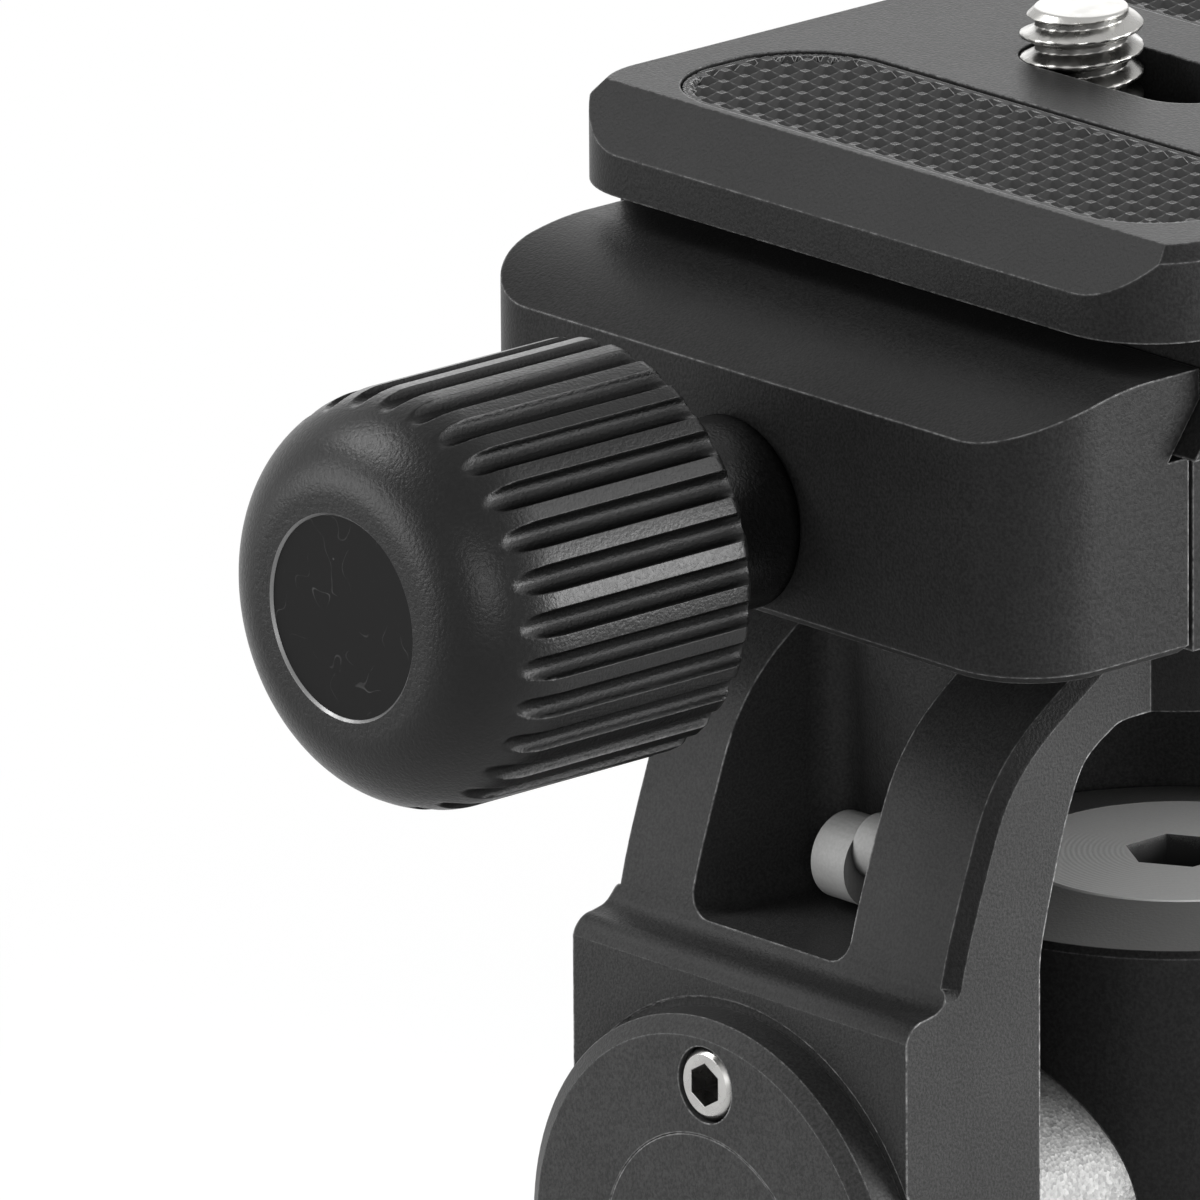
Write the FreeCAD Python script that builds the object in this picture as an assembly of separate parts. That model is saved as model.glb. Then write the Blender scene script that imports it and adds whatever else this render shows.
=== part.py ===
import FreeCAD, Part
import os
from math import cos, pi, radians, sin, sqrt

os.makedirs("parts", exist_ok=True)
V = FreeCAD.Vector

# Heights, all above the mounting face of the foot; the pan axis is X = Y = 0.
WEB_TOP = 21.0
TILT_ABOVE_WEB = 18.5
PLATE_ABOVE_TILT = 56.5
TILT_Z = WEB_TOP + TILT_ABOVE_WEB
PLATE_TOP = TILT_Z + PLATE_ABOVE_TILT
CLAMP_UNDER = PLATE_TOP - 21.5
CLAMP_AXIS_Z = PLATE_TOP - 16.3
BED_Z = PLATE_TOP - 11.35
LEG_FACE_TOP = PLATE_TOP - 42.3
POST_RIM = PLATE_TOP - 41.9
POST_TOP = PLATE_TOP - 40.95
SKIRT_BOTTOM = 7.05
PAN_LOCK_Z = 12.0

# Clearances between pieces that move past each other.
RUNNING = 0.05
THRUST = 0.1
GAP = 0.3

# Camera plate and its dovetail.
PLATE_HALF_W = 23.33
PLATE_HALF_L = 22.35
PLATE_CORNER = 5.5
PLATE_LONG_CHAMFER = 2.77
PLATE_TOP_CHAMFER = 0.78
PLATE_BAND = 4.95
LIP_TOP = PLATE_TOP - 6.8
LIP_EDGE = PLATE_TOP - 8.4
LIP_HALF = 18.5
NOTCH_Z = PLATE_TOP - 11.3
NOTCH_HALF = 20.66
PAD_INNER = 8.05
PAD_OUTER = 20.1
PAD_HALF_L = 19.0
PAD_CORNER = 5.5
PAD_RECESS = 1.2
PAD_BELOW_RIM = 0.3
SLOT_R = 3.25
SLOT_FRONT = -0.75
SLOT_BACK = 7.25
SLOT_WEB = 5.6

# Camera screw, quarter inch: a plain shank at thread size above the plate, thinner inside it.
INCH = 25.4
CAM_R = 0.125 * INCH
CAM_RELIEF_R = 2.6
CAM_ABOVE = 2.6
CAM_TIP_R = 2.5
CAM_NECK_R = 2.3
CAM_HEAD_R = 7.6
CAM_HEAD_H = 2.9
GUIDE_T = 1.4

# Clamp with one fixed and one moving jaw.
JAW_FACE = 30.4
JAW_HALF_L = 21.0
JAW_CORNER = 5.0
JAW_EDGE_Z = PLATE_TOP - 9.15
JAW_INNER = 19.24
JAW_TRAVEL = 4.0
PIN_R = 2.0
PIN_Y = 14.0
PIN_IN_JAW = 28.0
PIN_IN_BODY = 9.0
SCREW_R = 3.0
SCREW_TIP = 6.0
BOLT_R = 3.0
BOLT_HEAD_R = 5.25
BOLT_HEAD_H = 3.4
BOLT_DEPTH = 7.0
DOWEL_R = 1.5
DOWEL_X = 10.0
DOWEL_DEPTH = 1.8
BOLT_X = 1.5

# Knobs: radius, axial lengths of head and neck.
KNOB_R = 10.77
KNOB_LEN = 18.2
KNOB_NECK_R = 5.0
KNOB_NECK = 8.4
KNOB_BORE = 8.0
KNOB_CAP_R = 5.2
KNOB_RIBS = 30
TILT_KNOB_R = 12.5
TILT_KNOB_LEN = 18.5
PAN_KNOB_R = 8.0
PAN_KNOB_LEN = 15.0
CAP_DEPTH = 1.0
CAP_SUNK = 0.15

# Yoke: two legs, an arch and a round hood about the pan axis.
LEG_FACE = 30.7
LEG_INNER = 21.5
LEG_HALF = 12.47
LEDGE_Z = PLATE_TOP - 40.5
CROWN_Z = PLATE_TOP - 27.7
HOOD_R = 18.6
HOOD_BORE = 15.3
HOOD_BOTTOM = PLATE_TOP - 43.0
FRONT_OPEN_Y = -6.2
HOOD_FRONT_Y = -4.5
HOOD_FRONT_HALF = 16.3
POCKET_FLOOR = PLATE_TOP - 39.8
POCKET_LEFT = 6.7
POCKET_RIGHT = -5.1
EDGE_BEVEL = (0.5, 0.95)
STOP_X = -20.8
STOP_Z = PLATE_TOP - 36.2
STOP_R = 1.7
STOP_DEEP = 6.0
STOP_HEAD_R = 2.27
STOP_OFF = 1.0

# Tilt axle, its covers and its clamping knob.
AXLE_R = 5.0
AXLE_HEAD_R = 8.0
AXLE_HEAD = 4.6
AXLE_THREAD_R = 4.0
AXLE_END = 46.0
COVER_R = 13.65
COVER_FACE_R = 12.73
COVER_FRONT = 33.05
COVER_CHAMFER = 0.6
SPOT_R = 14.15
SPOT_DEPTH = 0.12
INLAY_R = 7.61
INLAY_T = 1.0
SET_R = 2.0
SET_UP = 10.33
SET_LEN = 6.0
WASHER_R = 9.0
WASHER_T = 1.5

# Post, hub collars and the pan base under them.
POST_R = 14.25
POST_CAP_R = 8.55
POST_CAP_H = 8.4
COLLAR_R = 8.8
COLLAR_SEAT = 10.5
BUSH_R = 6.3
SKIRT_R = 27.0
CHAMBER_R = 8.0
BOSS_R = 12.0
BOSS_TOP = 17.0
FOOT_R = 27.5
FOOT_H = 6.7
INSERT_R = 6.5
INSERT_H = 10.0
TRIPOD_R = 0.1875 * INCH
TRIPOD_PITCH = INCH / 16
TRIPOD_WALL = TRIPOD_R - 0.5413 * TRIPOD_PITCH
SPINDLE_R = 5.0
SPINDLE_HEAD_R = 7.2
SPINDLE_HEAD_H = 5.0
SPINDLE_WASHER_T = 1.3
SHOE_R = 3.4
SHOE_LEN = 4.6


def save(shape, node):
    """Write one node of the part as a STEP file."""
    shape.exportStep("parts/%s.step" % node)


def along(shape, origin, direction):
    """Turn a shape made upright about Z so that it points along direction from origin."""
    turned = shape.copy()
    turned.Placement = FreeCAD.Placement(V(*origin), FreeCAD.Rotation(V(0, 0, 1), V(*direction)))
    return turned


def turning(profile):
    """Revolve (radius, height) points about the Z axis."""
    points = [V(r, 0, z) for r, z in profile]
    face = Part.Face(Part.makePolygon(points + [points[0]]))
    return face.revolve(V(0, 0, 0), V(0, 0, 1), 360)


def rod(radius, low, high, x=0.0, y=0.0):
    """Upright cylinder between two heights."""
    return Part.makeCylinder(radius, high - low, V(x, y, low))


def rod_x(radius, start, end, y=0.0, z=TILT_Z):
    """Cylinder along X between two places."""
    return Part.makeCylinder(radius, end - start, V(start, y, z), V(1, 0, 0))


def block(low, high):
    """Box between two corners."""
    size = V(*high) - V(*low)
    return Part.makeBox(size.x, size.y, size.z, V(*low))


def rounded_prism(half_x, half_y, corner, low, high, centre_x=0.0):
    """Upright prism on a rectangle with round corners."""
    body = block((centre_x - half_x, -half_y, low), (centre_x + half_x, half_y, high))
    upright = [e for e in body.Edges if abs(e.Vertexes[0].Z - e.Vertexes[1].Z) > 1e-6]
    return body.makeFillet(corner, upright)


def oblong(radius, y_low, y_high, low, high):
    """Upright prism on a slot that runs along Y."""
    ends = rod(radius, low, high, y=y_low).fuse(rod(radius, low, high, y=y_high))
    return ends.fuse(block((-radius, y_low, low), (radius, y_high, high))).removeSplitter()


def extruded(points, y_low, y_high):
    """Polygon of (x, z) points drawn out along Y."""
    corners = [V(x, y_low, z) for x, z in points]
    face = Part.Face(Part.makePolygon(corners + [corners[0]]))
    return face.extrude(V(0, y_high - y_low, 0))


def mirrored_x(points):
    """The same (x, z) points on the other side, in running order."""
    return [(-x, z) for x, z in reversed(points)]


def hex_socket(across_flats, low, high):
    """Upright hexagonal prism for a key."""
    radius = across_flats / sqrt(3)
    corners = [V(radius * cos(pi * k / 3), radius * sin(pi * k / 3), low) for k in range(6)]
    return Part.Face(Part.makePolygon(corners + [corners[0]])).extrude(V(0, 0, high - low))


def thread_profile(major, root, pitch, low, count):
    """Points of ring-shaped thread grooves, going up from low."""
    points = []
    for k in range(count):
        z = low + k * pitch
        points += [(root, z), (major, z + 0.42 * pitch), (major, z + 0.58 * pitch)]
    return points + [(root, low + count * pitch)]


def dovetail_half(clearance):
    """Right flank of the plate's dovetail foot, from the neck down to the bed."""
    slope = (NOTCH_HALF - LIP_HALF) / (LIP_EDGE - NOTCH_Z)
    shift = clearance * sqrt(1 + slope * slope)
    bottom = BED_Z + GAP
    return [(LIP_HALF - shift, LIP_EDGE), (LIP_HALF - shift + slope * (LIP_EDGE - bottom), bottom)]


def pad_space(side, low, high):
    """Room of one grip pad on the plate; side is -1 or 1."""
    middle = side * (PAD_INNER + PAD_OUTER) / 2
    return rounded_prism((PAD_OUTER - PAD_INNER) / 2, PAD_HALF_L, PAD_CORNER, low, high, middle)


def make_plate():
    """Camera plate with chamfered sides, pad recesses, slot and dovetail foot."""
    top = rounded_prism(PLATE_HALF_W, PLATE_HALF_L, PLATE_CORNER, PLATE_TOP - PLATE_BAND, PLATE_TOP)
    rim = [e for e in top.Edges if e.BoundBox.ZMin > PLATE_TOP - 1e-6]
    top = top.makeChamfer(PLATE_TOP_CHAMFER, rim)
    side = [(PLATE_HALF_W, PLATE_TOP - PLATE_BAND), (PLATE_HALF_W, PLATE_TOP - PLATE_LONG_CHAMFER),
            (PLATE_HALF_W - PLATE_LONG_CHAMFER, PLATE_TOP)]
    top = top.common(extruded(side + mirrored_x(side), -PLATE_HALF_L, PLATE_HALF_L))
    flank = dovetail_half(GAP)
    neck = [(flank[0][0], PLATE_TOP - PLATE_BAND)] + flank
    foot = extruded(neck + mirrored_x(neck), -PLATE_HALF_L, PLATE_HALF_L)
    plate = top.fuse(foot).removeSplitter()
    for side in (-1, 1):
        plate = plate.cut(pad_space(side, PLATE_TOP - PAD_RECESS, PLATE_TOP + 1))
    plate = plate.cut(oblong(SLOT_R, SLOT_FRONT, SLOT_BACK, BED_Z, PLATE_TOP + 1))
    room = oblong(CAM_HEAD_R + 2, SLOT_FRONT, SLOT_BACK, BED_Z, PLATE_TOP - SLOT_WEB)
    save(plate.cut(room), "plate")


def make_pads():
    """Two rubber pads seated in the plate's recesses."""
    for side, name in ((-1, "left"), (1, "right")):
        save(pad_space(side, PLATE_TOP - PAD_RECESS, PLATE_TOP - PAD_BELOW_RIM), "pad_" + name)


def make_camera_screw():
    """Camera screw at the back of the slot, with its captive guide washer."""
    guide_top = PLATE_TOP - SLOT_WEB - GAP
    guide = rod(CAM_HEAD_R + 2 - GAP, guide_top - GUIDE_T, guide_top, y=SLOT_BACK)
    bore = rod(CAM_NECK_R + RUNNING, guide_top - GUIDE_T, guide_top, y=SLOT_BACK)
    save(guide.cut(bore), "screw_guide")
    head_top = guide_top - GUIDE_T - GAP
    head_low = head_top - CAM_HEAD_H
    tip = PLATE_TOP + CAM_ABOVE
    profile = [(0, head_low), (CAM_HEAD_R - 0.4, head_low), (CAM_HEAD_R, head_low + 0.4),
               (CAM_HEAD_R, head_top - 0.4), (CAM_HEAD_R - 0.4, head_top), (CAM_NECK_R, head_top)]
    thread_low = PLATE_TOP - SLOT_WEB + GAP
    free_low = PLATE_TOP + THRUST
    profile += [(CAM_NECK_R, thread_low), (CAM_RELIEF_R, thread_low + CAM_RELIEF_R - CAM_NECK_R),
                (CAM_RELIEF_R, free_low), (CAM_R, free_low), (CAM_R, tip - CAM_R + CAM_TIP_R),
                (CAM_TIP_R, tip), (0, tip)]
    screw = turning(profile)
    screw = screw.cut(block((-0.8, -CAM_HEAD_R, head_low), (0.8, CAM_HEAD_R, head_low + 1.5)))
    screw.translate(V(0, SLOT_BACK, 0))
    save(screw, "camera_screw")


def jaw_outline(inner):
    """Half outline of a jaw from its lip round the outside to its underside at x = inner."""
    rise = Part.Arc(V(JAW_FACE, 0, JAW_EDGE_Z), V(26.6, 0, LIP_TOP - 0.72), V(22.0, 0, LIP_TOP))
    corners = [V(22.0, 0, LIP_TOP), V(LIP_HALF, 0, LIP_TOP), V(LIP_HALF, 0, LIP_EDGE),
               V(NOTCH_HALF, 0, NOTCH_Z), V(inner, 0, NOTCH_Z), V(inner, 0, CLAMP_UNDER),
               V(JAW_FACE, 0, CLAMP_UNDER), V(JAW_FACE, 0, JAW_EDGE_Z)]
    edges = [Part.makeLine(a, b) for a, b in zip(corners, corners[1:])]
    return Part.Face(Part.Wire([rise.toShape()] + edges))


def jaw_block(inner):
    """Jaw on the +X side, with its end corners rounded off."""
    face = jaw_outline(inner)
    face.translate(V(0, -JAW_HALF_L, 0))
    body = face.extrude(V(0, 2 * JAW_HALF_L, 0))
    outline = rounded_prism(JAW_FACE, JAW_HALF_L, JAW_CORNER, CLAMP_UNDER, PLATE_TOP)
    return body.common(outline)


def make_jaw():
    """Moving jaw: slides on two pins, with a bore for the screw that draws it in."""
    jaw = jaw_block(JAW_INNER).mirror(V(0, 0, 0), V(1, 0, 0))
    low_edge = [e for e in jaw.Edges if e.BoundBox.ZMax < CLAMP_UNDER + 1e-6]
    jaw = jaw.makeChamfer(0.4, low_edge)
    jaw = jaw.cut(rod_x(SCREW_R + RUNNING, -JAW_FACE - 1, -JAW_INNER + 1, z=CLAMP_AXIS_Z))
    for y in (-PIN_Y, PIN_Y):
        jaw = jaw.cut(rod_x(PIN_R + RUNNING, -PIN_IN_JAW - GAP, -JAW_INNER + 1, y, CLAMP_AXIS_Z))
    save(jaw, "jaw")


def make_clamp_body():
    """Fixed clamp body with its own jaw, bolted on top of the yoke."""
    inner = JAW_INNER - GAP
    body = jaw_block(inner)
    bed = block((-inner, -JAW_HALF_L, CLAMP_UNDER), (inner, JAW_HALF_L, BED_Z))
    relief = block((NOTCH_HALF - 1.2, -JAW_HALF_L, BED_Z), (NOTCH_HALF, JAW_HALF_L, NOTCH_Z))
    body = body.fuse(bed).cut(relief).removeSplitter()
    screw_room = rod_x(SCREW_R + RUNNING, -inner - 1, -SCREW_TIP + GAP, z=CLAMP_AXIS_Z)
    body = body.cut(screw_room)
    for y in (-PIN_Y, PIN_Y):
        body = body.cut(rod_x(PIN_R, -inner - 1, -PIN_IN_BODY, y, CLAMP_AXIS_Z))
    body = body.cut(rod(BOLT_R, CLAMP_UNDER - 1, CLAMP_UNDER + BOLT_DEPTH, x=BOLT_X))
    for x in (BOLT_X - DOWEL_X, BOLT_X + DOWEL_X):
        body = body.cut(rod(DOWEL_R, CLAMP_UNDER - 1, CLAMP_UNDER + DOWEL_DEPTH, x=x))
    save(body, "clamp_body")


def make_clamp_fixings():
    """Guide pins of the jaw, and the bolt and dowels that hold the clamp on the yoke."""
    pins = [rod_x(PIN_R, -PIN_IN_JAW, -PIN_IN_BODY, y, CLAMP_AXIS_Z) for y in (-PIN_Y, PIN_Y)]
    save(Part.Compound(pins), "guide_pins")
    low = CROWN_Z - BOLT_HEAD_H
    bolt = rod(BOLT_HEAD_R, low, CROWN_Z).fuse(rod(BOLT_R, CROWN_Z, CLAMP_UNDER + BOLT_DEPTH))
    bolt = bolt.cut(hex_socket(4.0, low, low + 2.2))
    bolt.translate(V(BOLT_X, 0, 0))
    save(bolt, "clamp_bolt")
    low, high = CROWN_Z + 1, CLAMP_UNDER + DOWEL_DEPTH
    dowels = [rod(DOWEL_R, low, high, x=x) for x in (BOLT_X - DOWEL_X, BOLT_X + DOWEL_X)]
    save(Part.Compound(dowels), "clamp_dowels")


def ribbed_knob(radius, length, neck_r, neck, bore_r, bore):
    """Knob made upright: neck from zero, ribbed head above it, round nose with a cap recess."""
    top = neck + length
    cap = KNOB_CAP_R * radius / KNOB_R
    lip = cap + 0.9
    nose = 0.3 * length
    curve = []
    for k in range(1, 8):
        angle = radians(90 * k / 8)
        curve.append((lip + (radius - lip) * cos(angle), top - nose + nose * sin(angle)))
    profile = [(bore_r, 0), (neck_r, 0), (neck_r, neck), (radius - 0.6, neck),
               (radius, neck + 0.6), (radius, top - nose)] + curve
    profile += [(lip, top), (cap, top), (cap, top - CAP_DEPTH), (0, top - CAP_DEPTH), (0, bore),
                (bore_r, bore)]
    knob = turning(profile)
    depth = 0.45
    count = round(KNOB_RIBS * radius / KNOB_R)
    width = 0.62 * 2 * pi * radius / count
    grooves = []
    for k in range(count):
        groove = block((radius - depth, -width / 2, neck - 1), (radius + 2, width / 2, top - 0.2 * length))
        groove.rotate(V(0, 0, 0), V(0, 0, 1), 360.0 * k / count)
        grooves.append(groove)
    return knob.cut(Part.Compound(grooves))


def knob_cap(radius, length, neck):
    """Plain disc in the recess of a knob's nose, a hair below its lip."""
    top = neck + length
    return rod(KNOB_CAP_R * radius / KNOB_R, top - CAP_DEPTH, top - CAP_SUNK)


def make_clamp_knob():
    """Clamp knob with its screw; it pulls the moving jaw against the plate."""
    start = (-JAW_FACE - GAP, 0, CLAMP_AXIS_Z)
    depth = KNOB_NECK + KNOB_BORE
    knob = ribbed_knob(KNOB_R, KNOB_LEN, KNOB_NECK_R, KNOB_NECK, SCREW_R, depth)
    save(along(knob, start, (-1, 0, 0)), "clamp_knob")
    save(along(knob_cap(KNOB_R, KNOB_LEN, KNOB_NECK), start, (-1, 0, 0)), "clamp_knob_cap")
    reach = -start[0] - SCREW_TIP
    threads = thread_profile(SCREW_R, SCREW_R - 0.61, 1.0, -reach + 0.6, 12)
    profile = [(0, -reach), (SCREW_R - 0.7, -reach)] + threads
    profile += [(SCREW_R, threads[-1][1] + 0.6), (SCREW_R, depth), (0, depth)]
    save(along(turning(profile), start, (-1, 0, 0)), "clamp_screw")


def leg_outside():
    """Outer edge of the -X leg in the XZ plane, from the foot of the leg up to the clamp."""
    ledge = Part.Arc(V(-LEG_FACE, 0, LEG_FACE_TOP), V(-30.3, 0, LEDGE_Z - 0.45), V(-29.4, 0, LEDGE_Z - 0.1))
    corner = Part.Arc(V(-28.9, 0, LEDGE_Z), V(-28.2, 0, LEDGE_Z + 0.35), V(-27.85, 0, LEDGE_Z + 1.1))
    rib = [(-27.85, -39.4), (-27.5, -38.0), (-26.95, -36.2), (-25.9, -33.2), (-24.7, -30.3), (-22.8, -27.85),
           (-19.5, -25.4), (-14.6, -21.5)]
    rib_curve = Part.BSplineCurve()
    rib_curve.interpolate([V(x, 0, PLATE_TOP + z) for x, z in rib])
    foot = V(-LEG_FACE, 0, TILT_Z - LEG_HALF)
    return [Part.makeLine(foot, V(-LEG_FACE, 0, LEG_FACE_TOP)), ledge.toShape(),
            Part.makeLine(V(-29.4, 0, LEDGE_Z - 0.1), V(-28.9, 0, LEDGE_Z)), corner.toShape(),
            rib_curve.toShape()]


def arch_inside():
    """Inner edge of the -X half of the arch, from the leg's foot up to the crown's middle."""
    points = [(-LEG_INNER, -40.0), (-21.35, -38.4), (-21.0, -36.9), (-20.5, -35.0), (-19.8, -32.6),
              (-19.1, -30.7), (-18.2, -29.2), (-16.6, -28.1), (-14.2, -27.7)]
    curve = Part.BSplineCurve()
    places = [V(x, 0, PLATE_TOP + z) for x, z in points]
    curve.interpolate(Points=places, InitialTangent=V(0, 0, 1), FinalTangent=V(1, 0, 0))
    foot = V(-LEG_INNER, 0, TILT_Z - LEG_HALF - 1)
    return [Part.makeLine(foot, V(-LEG_INNER, 0, PLATE_TOP - 40.0)), curve.toShape(),
            Part.makeLine(V(-14.2, 0, CROWN_Z), V(0, 0, CROWN_Z))]


def both_sides(edges):
    """The edges and their mirror images in X."""
    return edges + [e.mirror(V(0, 0, 0), V(1, 0, 0)) for e in edges]


def arch_slab():
    """Arch and legs as one slab with no opening yet, with bevelled edges above the ledge."""
    top = Part.makeLine(V(-14.6, 0, CLAMP_UNDER), V(14.6, 0, CLAMP_UNDER))
    low = TILT_Z - LEG_HALF
    foot = Part.makeLine(V(-LEG_FACE, 0, low), V(LEG_FACE, 0, low))
    face = Part.Face(Part.Wire(Part.__sortEdges__(both_sides(leg_outside()) + [top, foot])))
    face.translate(V(0, -LEG_HALF, 0))
    slab = face.extrude(V(0, 2 * LEG_HALF, 0))
    bevel = [e for e in slab.Edges if e.BoundBox.YLength < 1e-3 and e.BoundBox.ZMax > CLAMP_UNDER - 1e-3
             and e.BoundBox.ZMin < CROWN_Z]
    slab = slab.makeChamfer(*EDGE_BEVEL, bevel)
    round_end = rod_x(LEG_HALF, -LEG_FACE, LEG_FACE)
    upper = block((-LEG_FACE, -LEG_HALF, TILT_Z), (LEG_FACE, LEG_HALF, CLAMP_UNDER))
    return slab.common(round_end.fuse(upper))


def arch_opening():
    """Room under the arch: its full shape in front of the hood, narrower into it, square below it."""
    low = TILT_Z - LEG_HALF - 1
    foot = Part.makeLine(V(-LEG_INNER, 0, low), V(LEG_INNER, 0, low))
    face = Part.Face(Part.Wire(Part.__sortEdges__(both_sides(arch_inside()) + [foot])))
    face.translate(V(0, -30, 0))
    front = face.extrude(V(0, 30 + FRONT_OPEN_Y, 0))
    middle = block((-HOOD_FRONT_HALF, -30, low), (HOOD_FRONT_HALF, HOOD_FRONT_Y, CLAMP_UNDER))
    deep = face.extrude(V(0, 30 + HOOD_FRONT_Y, 0)).common(middle)
    return front.fuse([deep, block((-LEG_INNER, -30, low), (LEG_INNER, 30, HOOD_BOTTOM))]).removeSplitter()


def leg_pocket():
    """Pocket in the -X leg, milled from above down to a floor, back to the hood's round wall."""
    reach = -LEG_FACE - 4.3
    tool = block((reach, POCKET_RIGHT, POCKET_FLOOR), (-10, POCKET_LEFT, CLAMP_UNDER + 1))
    tool = tool.cut(rod(HOOD_R, POCKET_FLOOR - 1, CLAMP_UNDER + 2))
    tool = [s for s in tool.Solids if s.BoundBox.XMin < -30][0]
    upright = [e for e in tool.Edges if e.BoundBox.ZLength > 10 and e.BoundBox.XMin > -30]
    tool = tool.makeFillet(1.6, upright)
    floor = [e for e in tool.Edges if e.BoundBox.ZMax < POCKET_FLOOR + 1e-6 and e.BoundBox.XMax > reach + 0.1]
    return tool.makeFillet(1.4, floor)


def make_yoke():
    """Tilting yoke: arch and legs, hood round the post's back, pockets, bores and seats."""
    hood = rod(HOOD_R, HOOD_BOTTOM, CLAMP_UNDER)
    yoke = arch_slab().fuse(hood)
    cavity = rod(HOOD_BORE, TILT_Z - 20, CROWN_Z)
    rim = [e for e in cavity.Edges if e.BoundBox.ZMin > CROWN_Z - 1e-6]
    yoke = yoke.cut([cavity.makeFillet(2.0, rim), arch_opening()])
    pocket = leg_pocket()
    yoke = yoke.cut([pocket, pocket.mirror(V(0, 0, 0), V(1, 0, 0))])
    face = -LEG_FACE
    tools = [rod_x(AXLE_R, face - 1, LEG_FACE + 1), rod_x(SPOT_R, face - 1, face + SPOT_DEPTH),
             rod_x(AXLE_HEAD_R, face - 1, face + AXLE_HEAD),
             rod_x(SET_R, face - 1, -COVER_FRONT + SET_LEN, z=TILT_Z + SET_UP),
             rod(BOLT_R, CROWN_Z - 1, CLAMP_UNDER + 1, x=BOLT_X)]
    tools += [rod(DOWEL_R, CROWN_Z + 1, CLAMP_UNDER + 1, x=x) for x in (BOLT_X - DOWEL_X, BOLT_X + DOWEL_X)]
    yoke = yoke.cut(tools).cut(stop_pin_shape()).removeSplitter()
    save(yoke, "yoke")


def stop_pin_shape():
    """Short pin in the pocket: a thick head, off centre on a thinner shank held in the front rib."""
    shank = Part.makeCylinder(STOP_R, 0.4 + STOP_DEEP, V(STOP_X, -STOP_DEEP, STOP_Z), V(0, 1, 0))
    head = Part.makeCylinder(STOP_HEAD_R, 2.6, V(STOP_X, 0.4, STOP_Z - STOP_OFF), V(0, 1, 0))
    rim = [e for e in head.Edges if e.BoundBox.YMin > 2.9]
    return shank.fuse(head.makeChamfer(0.15, rim)).removeSplitter()


def make_tilt_axle():
    """Axle through both legs and the post, threaded at its right end for the tilt knob."""
    start = -LEG_FACE + AXLE_HEAD
    head = rod_x(AXLE_HEAD_R, -LEG_FACE + SPOT_DEPTH + GAP, start)
    shank = rod_x(AXLE_R, start, LEG_FACE)
    low = LEG_FACE
    threads = thread_profile(AXLE_THREAD_R, AXLE_THREAD_R - 0.77, 1.25, low + 1, 11)
    profile = [(0, low), (AXLE_THREAD_R, low), (AXLE_THREAD_R, low + 1)] + threads
    profile += [(AXLE_THREAD_R - 0.8, AXLE_END), (0, AXLE_END)]
    end = along(turning(profile), (0, 0, TILT_Z), (1, 0, 0))
    save(head.fuse([shank, end]).removeSplitter(), "tilt_axle")


def make_disc_cover():
    """Round cover over the axle's head, with a flush inlay disc and its set screw."""
    back = LEG_FACE - SPOT_DEPTH
    profile = [(0, back), (COVER_R, back), (COVER_R, COVER_FRONT - COVER_CHAMFER),
               (COVER_FACE_R, COVER_FRONT), (INLAY_R, COVER_FRONT), (INLAY_R, COVER_FRONT - INLAY_T),
               (0, COVER_FRONT - INLAY_T)]
    cover = along(turning(profile), (0, 0, TILT_Z), (-1, 0, 0))
    cover = cover.cut(rod_x(SET_R, -COVER_FRONT - 1, -back + 1, z=TILT_Z + SET_UP))
    save(cover, "disc_cover")
    save(rod_x(INLAY_R - RUNNING, -COVER_FRONT, -COVER_FRONT + INLAY_T), "disc_inlay")
    screw = turning([(0, 0), (SET_R, 0), (SET_R, SET_LEN - 0.4), (SET_R - 0.4, SET_LEN), (0, SET_LEN)])
    screw = screw.cut(hex_socket(2.0, SET_LEN - 2.2, SET_LEN + 1))
    save(along(screw, (-COVER_FRONT + SET_LEN, 0, TILT_Z + SET_UP), (-1, 0, 0)), "cover_screw")


def make_tilt_knob():
    """Tilt lock knob on the axle's thread, with its steel insert, cap and thrust washer."""
    washer_x = LEG_FACE + GAP
    washer = rod_x(WASHER_R, washer_x, washer_x + WASHER_T)
    save(washer.cut(rod_x(AXLE_THREAD_R + THRUST, 0, AXLE_END)), "tilt_washer")
    start = (washer_x + WASHER_T + GAP, 0, TILT_Z)
    neck = 1.5
    depth = AXLE_END - start[0] + 1.5
    insert_r = AXLE_THREAD_R + 2
    knob = ribbed_knob(TILT_KNOB_R, TILT_KNOB_LEN, insert_r + 2, neck, insert_r, depth)
    save(along(knob, start, (1, 0, 0)), "tilt_knob")
    insert = rod(insert_r, 0, depth).cut(rod(AXLE_THREAD_R + RUNNING, -1, depth + 1))
    save(along(insert, start, (1, 0, 0)), "tilt_knob_insert")
    save(along(knob_cap(TILT_KNOB_R, TILT_KNOB_LEN, neck), start, (1, 0, 0)), "tilt_knob_cap")


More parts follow.
